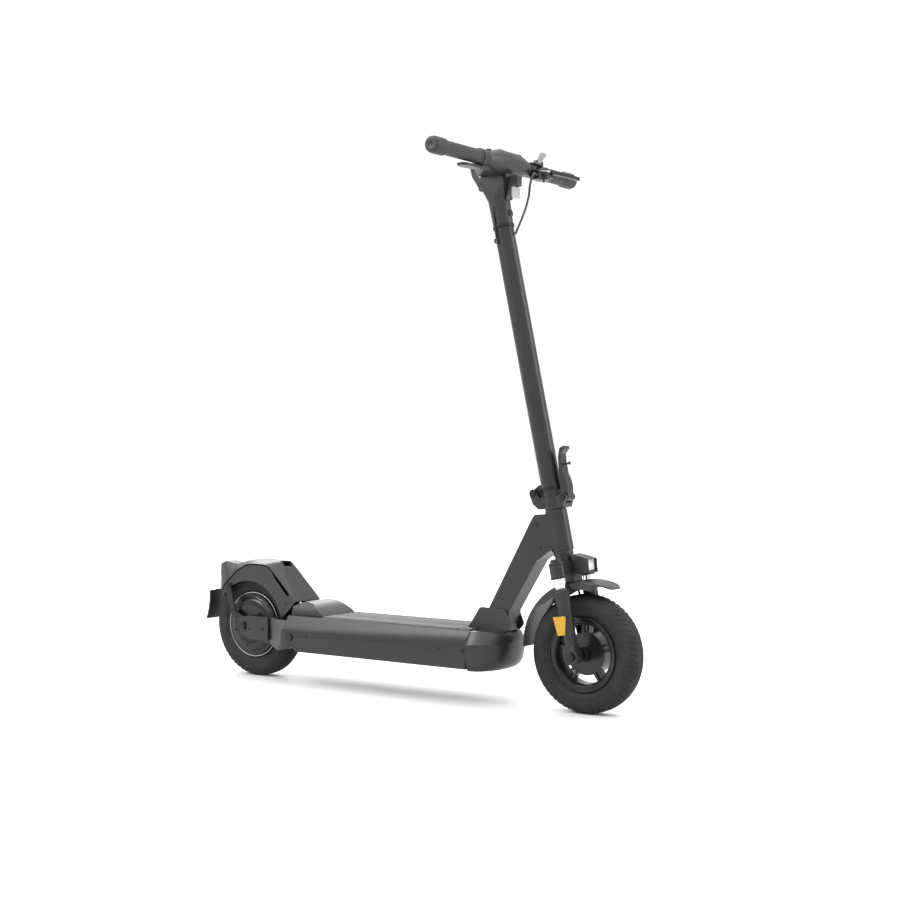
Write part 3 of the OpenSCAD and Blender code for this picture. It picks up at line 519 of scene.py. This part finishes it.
def tyreSurface(look, x):
    # carcass: bead, bulged wall, elliptic shoulder, flat crown; the tread cuts are taken off along the radius
    a = np.radians(np.linspace(0, 90, look["arcSteps"]))
    (arcR, riseR), (arcY, riseY) = look["arc"]
    shoulder = np.column_stack([arcR + riseR * np.sin(a), arcY + riseY * np.cos(a)])
    half = np.concatenate([look["bead"], shoulder])
    outer = np.concatenate([half, (half * [1, -1])[::-1]])
    along = np.concatenate([[0], np.cumsum(np.linalg.norm(np.diff(outer, axis=0), axis=1))])
    even = np.linspace(0, along[-1], look["across"])
    r, y = np.interp(even, along, outer[:, 0]), np.interp(even, along, outer[:, 1])
    s = even - along[-1] / 2
    theta = np.linspace(0, 2 * math.pi, look["turns"], endpoint=False)[:, None]
    turn = theta * look["blocks"] / (2 * math.pi)
    tread = np.clip((r - look["treadFrom"]) / 6, 0, 1) * np.clip((look["treadHalf"] - np.abs(s)) / 3, 0, 1)
    ribAt, ribSwing, ribWidth = look["ribs"]
    rib = ribAt + ribSwing * np.abs((turn % 1) * 2 - 1)
    ring = np.clip(1.2 - ((np.abs(s) - rib) / ribWidth) ** 2, 0, 1) * look["zigzag"]
    lug = pulse(turn + 0.25 * np.sign(s) - np.abs(s) * look["lean"], 0.26)
    lug = lug * (np.abs(s) > 11) * look["shoulder"]
    sipe = pulse(turn * 2 + np.abs(s) * look["sipeLean"], 0.22) * (np.abs(s) < 7.5) * look["sipe"]
    cut = np.maximum(np.maximum(ring, lug), sipe) * tread
    wall = sum(high * np.exp(-((r - at) / wide) ** 2) for high, at, wide in look["walls"])
    rr = np.broadcast_to(r, cut.shape) - cut
    yy = np.broadcast_to(np.sign(y) * np.minimum(np.abs(y) + wall, look["widest"]), cut.shape)
    inner = np.array(look["inner"])
    rr = np.concatenate([rr, np.broadcast_to(inner[:, 0], (len(theta), len(inner)))], 1)
    yy = np.concatenate([yy, np.broadcast_to(inner[:, 1], (len(theta), len(inner)))], 1)
    grid = np.stack([x + rr * np.cos(theta), yy, layout["axleZ"] + rr * np.sin(theta)], -1)
    return grid.reshape(-1, 3), gridFaces(len(theta), rr.shape[1], True, True)


frontValve = smoothPath(np.array(rimLook["valve"]) + (layout["frontX"], 0, layout["axleZ"]),
                        rimLook["valveSteps"])
for wheelBody, x, lipSlot in (("front_wheel", layout["frontX"], "wheel_metal"),
                              ("rear_wheel", layout["rearX"], "plain_steel")):
    kind = wheelBody.split("_")[0]
    centre = (x, layout["axleZ"])
    build(kind + "TyreTread", [tyreSurface(tyreLook, x)], wheelBody, "tyre_rubber", (kind + "_tyre",))
    lips = bothSides(lambda side: spun(softened([(r, side * y) for r, y in rimLook["lip"]], rimLook["soft"]),
                                       centre, rimLook["turns"]))
    build(kind + "RimLip", lips, wheelBody, lipSlot)
    if kind == "front":
        build("frontValve", [swept(frontValve, rimLook["valveSize"])], wheelBody, "black_plastic")
print("tyres done")

hubLook = {"screws": 6, "ring": 53.0, "size": 3.1, "from": 36.4, "to": 38.9, "first": 0.3, "turns": 160,
           "soft": 1.2,
           "profile": [(9, 30), (9, 39.6), (12, 41), (17, 41), (18.6, 39.6), (20.5, 37.4), (24, 36.6),
                       (34, 36.4),
                       (41, 36.8), (47, 37.8), (54, 37.2), (60, 35.4), (64, 32.4), (66.6, 29.4), (69, 28.2),
                       (73.6, 28), (73.6, 25)]}
rearCentre = (layout["rearX"], layout["axleZ"])


def hubDome(side):
    # cover profile from axle to edge: boss, shallow dish, domed shoulder, flat lip
    return spun([(r, side * y) for r, y in softened(hubLook["profile"], hubLook["soft"])], rearCentre,
                hubLook["turns"])


build("hubDomes", bothSides(hubDome), "rear_wheel", "wheel_metal", ("hub_covers",))
hubScrews = [capScrew((rearCentre[0] + hubLook["ring"] * math.cos(a),
                       rearCentre[1] + hubLook["ring"] * math.sin(a)),
                      hubLook["size"], hubLook["from"], hubLook["to"], side)
             for a in np.arange(hubLook["screws"]) * math.pi / 3 + hubLook["first"] for side in (1, -1)]
build("hubScrews", hubScrews, "rear_wheel", "black_metal")

# the nose's levels are height, length ahead of the deck and half width
noseLook = {"power": 2.25, "columns": 64, "rows": 64, "from": 221.2, "longest": 75.9, "widest": 89.9,
            "levels": [(75.2, 41, 74), (76.4, 49, 79), (80, 56.5, 83.4), (86, 63.5, 87.4), (97, 70, 89.4),
                       (112, 74, 90), (124, 75.8, 90), (134, 76, 90), (142, 75.6, 85), (150, 74.2, 80.1),
                       (156, 71.5, 76.3), (160, 67.5, 73.9), (162.2, 63, 72.4), (163, 57, 70.6)]}
shroudLook = {"outline": [(186.5, 163.2), (219, 212), (285, 210), (300, 176), (290, 163.2)], "inside": 24.2,
              "outside": 28, "soft": 5, "edge": 0.9}


def noseSurface(look):
    # each level is half a superellipse (x/l)^p + (y/w)^p = 1 in front of the deck, closed along its end
    levels = np.array(look["levels"], float)
    t = np.arange(len(levels))
    z, l, w = (smoothPath(np.column_stack([t, levels[:, k]]), look["rows"])[:, 1] for k in range(3))
    w, l = np.minimum(w, look["widest"]), np.minimum(l, look["longest"])
    a = np.linspace(-math.pi / 2, math.pi / 2, look["columns"])[None, :]
    power = 2 / look["power"]
    x = look["from"] + l[:, None] * np.abs(np.cos(a)) ** power
    y = w[:, None] * np.sign(np.sin(a)) * np.abs(np.sin(a)) ** power
    grid = np.stack([x, y, np.broadcast_to(z[:, None], x.shape)], -1)
    faces = gridFaces(look["rows"], look["columns"], False, True)
    faces += [list(range(look["columns"]))[::-1],
              [(look["rows"] - 1) * look["columns"] + k for k in range(look["columns"])]]
    return grid.reshape(-1, 3), faces


build("noseShell", [noseSurface(noseLook)], "frame", "frame_metal", ("nose_casting",))
shroud = softened(shroudLook["outline"], shroudLook["soft"], 5)
build("noseShrouds", bothSides(lambda side: slab(shroud, shroudLook["inside"] * side,
                                                 shroudLook["outside"] * side)),
      "frame", "shell_plastic", edge=shroudLook["edge"])

matLook = {"pitch": 7.0, "rise": 0.8, "low": 163.1, "top": 166.0, "stepX": 1.0, "stepY": 2.5, "lean": 0.35,
           "gapAt": 34, "gapHalf": 3, "pads": ((-200, 185.6, -69, 69), (186.2, 217, 28.4, 69),
                                               (186.2, 217, -69, -28.4))}


def ribbedPad(x0, x1, y0, y1, look):
    # flat pad whose top carries slanted bars: height = low plane + bar wave in x, leaning with |y|
    nx, ny = int((x1 - x0) / look["stepX"]) + 1, int((y1 - y0) / look["stepY"]) + 1
    x, y = np.meshgrid(np.linspace(x0, x1, nx), np.linspace(y0, y1, ny), indexing="ij")
    wave = pulse((x + look["lean"] * np.abs(y)) / look["pitch"], 0.5)
    z = look["top"] - wave * (np.abs(np.abs(y) - look["gapAt"]) > look["gapHalf"]) * look["rise"]
    edge = (np.arange(nx)[:, None] % (nx - 1) == 0) | (np.arange(ny)[None, :] % (ny - 1) == 0)
    grid = np.stack([x, y, np.where(edge, look["low"], z)], -1)
    ring = np.concatenate([np.arange(ny), np.arange(1, nx) * ny + ny - 1,
                           (nx - 1) * ny + np.arange(ny - 2, -1, -1), np.arange(nx - 2, 0, -1) * ny])
    return grid.reshape(-1, 3), gridFaces(nx, ny, False, False) + [ring.tolist()]


build("gripMatRibs", [ribbedPad(*pad, matLook) for pad in matLook["pads"]], "frame", "mat_rubber",
      ("grip_mat",),
      smooth=False)

# seam: path in x and z, width, thickness; screw: place in x and z, size, y where it starts and ends
deckTrim = {"seams": (([(-258, 95), (-100, 95), (60, 95), (219, 95)], 1.0, 0.25),
                      ([(-290, 133.6), (-100, 133.6), (60, 133.6), (219, 133.6)], 0.8, 0.2)),
            "screws": (((362, 399), 4.2, 24.0, 25.4), ((373, 349), 4.2, 24.0, 25.4),
                       ((-232, 122), 3.4, 90.0, 91.2), ((150, 122), 3.0, 90.0, 91.0))}
armTrim = {"screws": (((-434, 121), 3.6, 66.0, 67.6), ((-392, 123), 3.6, 66.0, 67.6),
                      ((-520, 221), 3.4, 49.9, 51.3), ((-471, 139), 3.0, 49.9, 51.1),
                      ((-334, 186), 3.2, 46.0, 47.2))}


def screwSet(spots):
    return [capScrew(spot, size, y0, y1, side) for side in (1, -1) for spot, size, y0, y1 in spots]


trim = [ribbon(path, width, layout["deckY"] * side, (layout["deckY"] + thick) * side)
        for side in (1, -1) for path, width, thick in deckTrim["seams"]]
build("deckSeams", trim, "frame", "black_plastic", smooth=False)
build("frameScrews", screwSet(deckTrim["screws"]), "frame", "black_metal")
print("deck pieces done")

build("armScrews", screwSet(armTrim["screws"]), "rear_arm", "black_metal")
seamLook = {"face": 46.0, "steps": 70, "width": 2.6, "thick": 0.35, "slotThick": 0.5,
            "path": [(-539.4, 205), (-539, 216), (-516.4, 237), (-488, 260.4), (-460, 273.2), (-438, 276),
                     (-404.5, 275.2), (-389, 270.6), (-378, 262.4)],
            "slot": [(-380, 264), (-375, 261), (-328, 216), (-322, 204), (-331, 207), (-352, 229),
                     (-368, 246)],
            "well": [(-383.6, 277), (-377, 276.6), (-360, 254), (-383.6, 266)], "wellHalf": 13.6}
lampLook = {"first": 243, "end": 265, "pitch": 4.0, "half": 13, "lean": 0.075, "leanFrom": 241,
            "rib": [(-576.2, 0), (-577.6, 0.6), (-577.6, 2.0), (-576.2, 2.6)]}
seamPath = smoothPath(seamLook["path"], seamLook["steps"])
seamSlot = softened(seamLook["slot"], 3, 4)
face = seamLook["face"]
seams = bothSides(lambda side: ribbon(seamPath, seamLook["width"], face * side,
                                      (face + seamLook["thick"]) * side))
seams += bothSides(lambda side: slab(seamSlot, face * side, (face + seamLook["slotThick"]) * side))
# painted shade: the seam lines are thin near-black sheets laid on the fender faces, standing for the shade
# inside the gaps
build("fenderSeamShade", seams, "rear_arm", "black_plastic", smooth=False).data.materials[0] = gapShadePaint
# painted shade: a near-black block stands for the shade in the catch well's recess
catchWellShade = [slab(softened(seamLook["well"]), -seamLook["wellHalf"], seamLook["wellHalf"])]
build("fenderCatchWellShade", catchWellShade, "rear_arm", "black_plastic", smooth=False).data.materials[0] = gapShadePaint
lampRibs = [slab(softened([(x + lampLook["lean"] * (z - lampLook["leanFrom"]), z + up)
                           for x, up in lampLook["rib"]], 0.4),
                 -lampLook["half"], lampLook["half"])
            for z in np.arange(lampLook["first"], lampLook["end"], lampLook["pitch"])]
build("tailLampRibs", lampRibs, "rear_arm", "lamp_red", smooth=False)


def coil(centre, axis, look):
    # wire along a helix, its last half turn at each end lying flat
    t = np.linspace(0, 1, int(look["turns"] * 26))
    lift = np.clip((t - 0.06) / 0.88, 0, 1)
    axis = np.array(axis, float)
    side = np.cross(axis, [0, 1, 0])
    side /= np.linalg.norm(side)
    up = np.cross(axis, side)
    a = t[:, None] * look["turns"] * 2 * math.pi
    wire = look["wire"]
    climb = look["low"] + wire + (look["high"] - look["low"] - 2 * wire) * lift
    path = (np.array(centre, float) + axis * climb[:, None]
            + look["radius"] * (np.cos(a) * side + np.sin(a) * up))
    return swept(path, wire, 8)


# keep is the share of the coil's length left with the joint at its limit
rearCoilLook = {"low": 150.2, "high": 175.8, "radius": 8.0, "wire": 1.45, "turns": 6, "x": -313, "y": 28,
                "keep": 0.82,
                "peg": [(0.01, 150.2), (5.2, 150.2), (5.2, 154), (0.01, 154)], "pegTurns": 24}
forkCoilLook = {"low": 178.5, "high": 317.1, "radius": 7.5, "wire": 1.45, "turns": 16, "keep": 0.85}
upright, axisWay = (0, 0, 1), (-sinR, 0, cosR)
rearCoils = bothSides(lambda side: coil((rearCoilLook["x"], rearCoilLook["y"] * side, 0), upright,
                                        rearCoilLook))
rearCoils += bothSides(lambda side: lathe(rearCoilLook["peg"],
                                          (rearCoilLook["x"], rearCoilLook["y"] * side, 0), upright,
                                          rearCoilLook["pegTurns"]))
rearCoilPiece = build("rearCoils", rearCoils, "rear_arm", "plain_steel", ("rear_springs",))
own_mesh(rearCoilPiece)
print("rear pieces done")

# profiles are radius and distance along the steering axis
forkLook = {"seal": [(12.3, 265.2), (16.2, 265.2), (16.4, 268), (14.6, 271.5), (12.3, 272)],
            "ring": [(16.4, 0), (17.3, 0), (17.3, 3), (16.4, 3)], "rings": (293, 321),
            "cap": [(0.01, 332), (11.4, 332), (9.6, 334.6), (5.2, 334.6), (4.6, 332.8), (0.01, 332.8)],
            "ridge": [(149.8, -1.2), (151.4, -0.8), (151.4, 0.8), (149.8, 1.2)], "ridges": (24, 17, -17, -24),
            "fender": (483.5, 134.0), "ridgeArc": (104, 178, 60),
            "lamp": [(482.4, 303), (488.6, 302), (487.0, 331), (480.8, 331.4)], "lampFrom": 17.2,
            "lampTo": 18.6}
lowerCableLook = {"size": 2.5, "sides": 14, "steps": 90, "keep": 0.8,
                  "path": [(424.1, 36, 294), (426.3, 41, 282.8), (425.9, 46, 270.5), (427.3, 47.5, 254.4),
                           (430.9, 48, 237.8), (432, 47, 212), (431, 43, 190.3)]}
legX, legZ = fromSteering(layout["legU"], 0)


def onLegs(profile, turns):
    # a profile turned about each fork leg's axis
    return [lathe(profile, (legX, y, legZ), axisWay, turns) for y in (layout["legY"], -layout["legY"])]


build("dustSeals", onLegs(softened(forkLook["seal"], 0.7), 64), "fork_lower", "black_plastic")
crownRings = [part for s in forkLook["rings"] for part in
              onLegs(softened([(r, s + up) for r, up in forkLook["ring"]], 0.6), 64)]
build("crownRings", crownRings + onLegs(softened(forkLook["cap"], 0.4), 48), "steering", "black_metal")
forkCoils = [coil((legX, y, legZ), axisWay, forkCoilLook) for y in (layout["legY"], -layout["legY"])]
forkCoilPiece = build("forkCoils", forkCoils, "fork_lower", "plain_steel", ("fork_springs",))
footX, footZ = fromSteering(layout["legU"], forkCoilLook["low"])
footX * mm
footZ * mm
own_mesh(forkCoilPiece)
ridges = [arcSweep(softened([(r, y + off) for r, off in forkLook["ridge"]], 0.4), forkLook["fender"],
                   *forkLook["ridgeArc"]) for y in forkLook["ridges"]]
build("frontFenderRidges", ridges, "steering", "shell_plastic")
lampTrim = softened(forkLook["lamp"], 0.8)
build("lampSideTrim", bothSides(lambda side: slab(lampTrim, side * forkLook["lampFrom"],
                                                  side * forkLook["lampTo"])),
      "steering", "black_metal", smooth=False)
lowerRun = smoothPath(lowerCableLook["path"], lowerCableLook["steps"])
lowerCable = build("lowerCableJacket", [swept(lowerRun, lowerCableLook["size"], lowerCableLook["sides"])],
                   "steering",
                   "cable_jacket", ("front_brake_cable",))
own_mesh(lowerCable)
print("fork pieces done")

stemLook = {"collar": ((22.05, 0), (24.2, 0), (24.2, 1), (22.05, 1)), "collars": ((484, 8), (1072, 7.6)),
            "clip": ((22.2, 1094), (26.4, 1096), (27, 1100), (26.4, 1107), (22.6, 1110)), "clipHalf": 5,
            "grommet": [(2.8, -1.5), (6.2, -1.5), (6.2, 1.2), (4.6, 2.4), (2.8, 2.2)],
            "grommetAt": (259, 22.6, 1019)}
leadLook = {"size": 1.9, "sides": 12, "steps": 60,
            "path": [(251, -24.2, 1096), (252.5, -24.0, 1080), (255, -23.9, 1060), (257.5, -23.7, 1040),
                     (259.2, -23.2, 1026), (259.4, -21.4, 1019)]}
upperCableLook = {"size": 2.5, "sides": 14, "steps": 140,
                  "path": [(297, 84.9, 1175), (300, 68, 1176), (301, 56, 1164), (300, 50, 1146),
                           (300, 46, 1125),
                           (300, 34, 1097), (300, 21, 1076), (299, 7, 1054), (293.5, 0, 1034)]}
stemX, stemZ = fromSteering(0, 0)
collars = [lathe(softened([(r, s + h * up) for r, up in stemLook["collar"]]), (stemX, 0, stemZ), axisWay, 96)
           for s, h in stemLook["collars"]]
build("stemCollars", collars, "stem", "black_metal")
clipPath = [fromSteering(u, s) for u, s in stemLook["clip"]]
build("cableClip", [slab(softened(clipPath, 1.2), -stemLook["clipHalf"], stemLook["clipHalf"])], "stem",
      "black_plastic", edge=0.5)
grommetX, grommetY, grommetZ = stemLook["grommetAt"]
build("cableGrommets", bothSides(lambda side: lathe(softened(stemLook["grommet"], 0.6),
                                                    (grommetX, side * grommetY, grommetZ), (0, side, 0), 40)),
      "stem", "black_plastic")
sideLead = swept(smoothPath(leadLook["path"], leadLook["steps"]), leadLook["size"], leadLook["sides"])
build("sideLeads", [sideLead, mirrored(sideLead)], "stem", "cable_jacket")
upperRun = smoothPath(upperCableLook["path"], upperCableLook["steps"])
build("upperCableJacket", [swept(upperRun, upperCableLook["size"], upperCableLook["sides"])], "stem",
      "cable_jacket",
      ("brake_cable",))

# profiles are radius and distance along the bar, arcs are in degrees
displayLook = {"glass": [(27.05, -34), (27.6, -33.6), (27.6, 33.6), (27.05, 34)], "glassArc": (52, 104, 40),
               "bezel": [(27.0, -1.1), (27.9, -0.9), (27.9, 0.9), (27.0, 1.1)], "bezels": (35.4, -35.4),
               "bezelArc": (50, 106, 40)}
barCentre = (layout["barX"], layout["barZ"])
build("displayGlass", [arcSweep(softened(displayLook["glass"], 0.2), barCentre, *displayLook["glassArc"])],
      "stem",
      "button_plastic")
bezels = [arcSweep(softened([(r, y + off) for r, off in displayLook["bezel"]], 0.3), barCentre,
                   *displayLook["bezelArc"])
          for y in displayLook["bezels"]]
build("displayBezel", bezels, "stem", "shell_plastic")

# the first keys are lengths from the inner end, the last ones lengths back from the outer end
gripLook = {"turns": 144, "rows": 210, "rib": 0.75, "count": 24, "pitch": 5.2, "ringDepth": 0.6,
            "leanLength": 26,
            "bore": 11.05, "wall": 3.8, "centre": 0.05, "starts": ((134, 1), (110, -1)),
            "keysIn": (5.2, 6.6, 8.4),
            "keysOut": (50, 40, 8, 2, 0.5),
            "radii": [16.9, 17.5, 17.5, 16.6, 15.5, 15.5, 18.4, 18.4, 16.4, 14.5, 12.5]}


def gripSurface(look, start, side):
    # radius along the bar: flange, barrel, end bulb; barrel carries leaning ribs cut by rings
    length = layout["gripEnd"] - start
    y = np.linspace(0, 1, look["rows"])
    keys = [0, 0.004, *(k / length for k in look["keysIn"]),
            *((length - k) / length for k in look["keysOut"]), 1]
    radius = np.interp(y, keys, look["radii"])[None, :]
    theta = np.linspace(0, 2 * math.pi, look["turns"], endpoint=False)[:, None]
    barrel = np.clip((y * length - 10) / 3, 0, 1) * np.clip((length - 52 - y * length) / 3, 0, 1)
    bulbBand = np.clip((y * length - (length - 38)) / 2, 0, 1) * np.clip((length - 10 - y * length) / 2, 0, 1)
    lean = theta * look["count"] / (2 * math.pi) + y * length / look["leanLength"]
    cut = (pulse(lean, 0.34) * look["rib"] * barrel
           + pulse(y * length / look["pitch"] + 0 * theta, 0.3) * look["ringDepth"] * bulbBand)
    rr = radius - cut

    def ringAt(size, along):
        # one ring of points round the bar
        return np.stack([barCentre[0] + size * np.cos(theta), np.full(theta.shape, side * along),
                         barCentre[1] + size * np.sin(theta)], -1)

    grid = np.stack([barCentre[0] + rr * np.cos(theta),
                     np.broadcast_to(side * (start + y * length), rr.shape),
                     barCentre[1] + rr * np.sin(theta)], -1)
    end = start + length
    full = np.concatenate([ringAt(look["bore"], start), grid, ringAt(look["centre"], end),
                           ringAt(look["centre"], end - look["wall"]),
                           ringAt(look["bore"], end - look["wall"])], 1)
    return full.reshape(-1, 3), gridFaces(look["turns"], full.shape[1], True, True)


build("gripRibs", [gripSurface(gripLook, *start) for start in gripLook["starts"]], "stem", "mat_rubber",
      ("grips",))

# profiles are radius and height
bellLook = {"at": (297, 113.5, 0), "turns": 96, "footTurns": 32,
            "dome": [(0.01, 1182.2), (14, 1182.2), (15.2, 1184), (15.2, 1188.4), (14.6, 1190.2),
                     (13.4, 1191.4),
                     (11.6, 1192.2), (11.2, 1193.6), (7.4, 1195.4), (0.01, 1196)],
            "foot": [(0.01, 1162.2), (2.5, 1162.2), (2.5, 1182.6), (0.01, 1182.6)],
            "rim": [(15.0, 1183.6), (15.9, 1184), (15.9, 1187.6), (15.0, 1188)]}
reflectorLook = {"bracket": [(275, 1112), (279, 1110), (291, 1137.6), (304, 1139), (305, 1161), (286, 1161),
                             (282, 1146), (278, 1128)], "bracketHalf": 9,
                 "plate": [(292, 1113), (298, 1113), (298, 1136.9), (292, 1136.9)], "plateHalf": 12,
                 "edge": 0.6}
perchLook = {"screw": [(0.01, 1205.9), (3.0, 1205.9), (2.7, 1207.4), (1.6, 1207.4), (1.4, 1206.6),
                       (0.01, 1206.6)],
             "spots": ((274, 93.5), (273.6, 101.0)), "turns": 24}
bellParts = [lathe(softened(bellLook["dome"], 0.8), bellLook["at"], upright, bellLook["turns"]),
             lathe(bellLook["foot"], bellLook["at"], upright, bellLook["footTurns"])]
build("bellDome", bellParts, "stem", "black_metal", ("bell_body",))
build("bellRim", [lathe(softened(bellLook["rim"], 0.3), bellLook["at"], upright, bellLook["turns"])], "stem",
      "plain_steel")
for name, outline, half, soft, slotName in (
        ("reflectorBracket", reflectorLook["bracket"], reflectorLook["bracketHalf"], 1.2, "black_plastic"),
        ("reflectorPlate", reflectorLook["plate"], reflectorLook["plateHalf"], 1.0, "reflector_white")):
    build(name, [slab(softened(outline, soft), -half, half)], "stem", slotName, ("front_reflector",),
          edge=reflectorLook["edge"])
perchScrews = [lathe(softened(perchLook["screw"], 0.2), (x, y, 0), upright, perchLook["turns"])
               for x, y in perchLook["spots"]]
build("perchScrews", perchScrews, "stem", "black_metal")
print("bar pieces done")

floorLook = {"half": 14, "scale": 3, "dark": (0.66, 0.66, 0.66), "light": (0.68, 0.68, 0.68), "rough": 0.55}
floorMesh = bpy.data.meshes.new("studioFloor")
floorMesh.from_pydata([(x * floorLook["half"], y * floorLook["half"], 0)
                       for x, y in ((-1, -1), (1, -1), (1, 1), (-1, 1))],
                      [], [(0, 1, 2, 3)])
floorPaint = Paint("studio_floor")
speck = floorPaint.noise(floorLook["scale"], 3)
floorMesh.materials.append(floorPaint.set(color=floorPaint.mix(speck, floorLook["dark"], floorLook["light"]),
                                          rough=floorLook["rough"]))
studioFloor = bpy.data.objects.new("studioFloor", floorMesh)
bpy.context.scene.collection.objects.link(studioFloor)
print("floor placed")
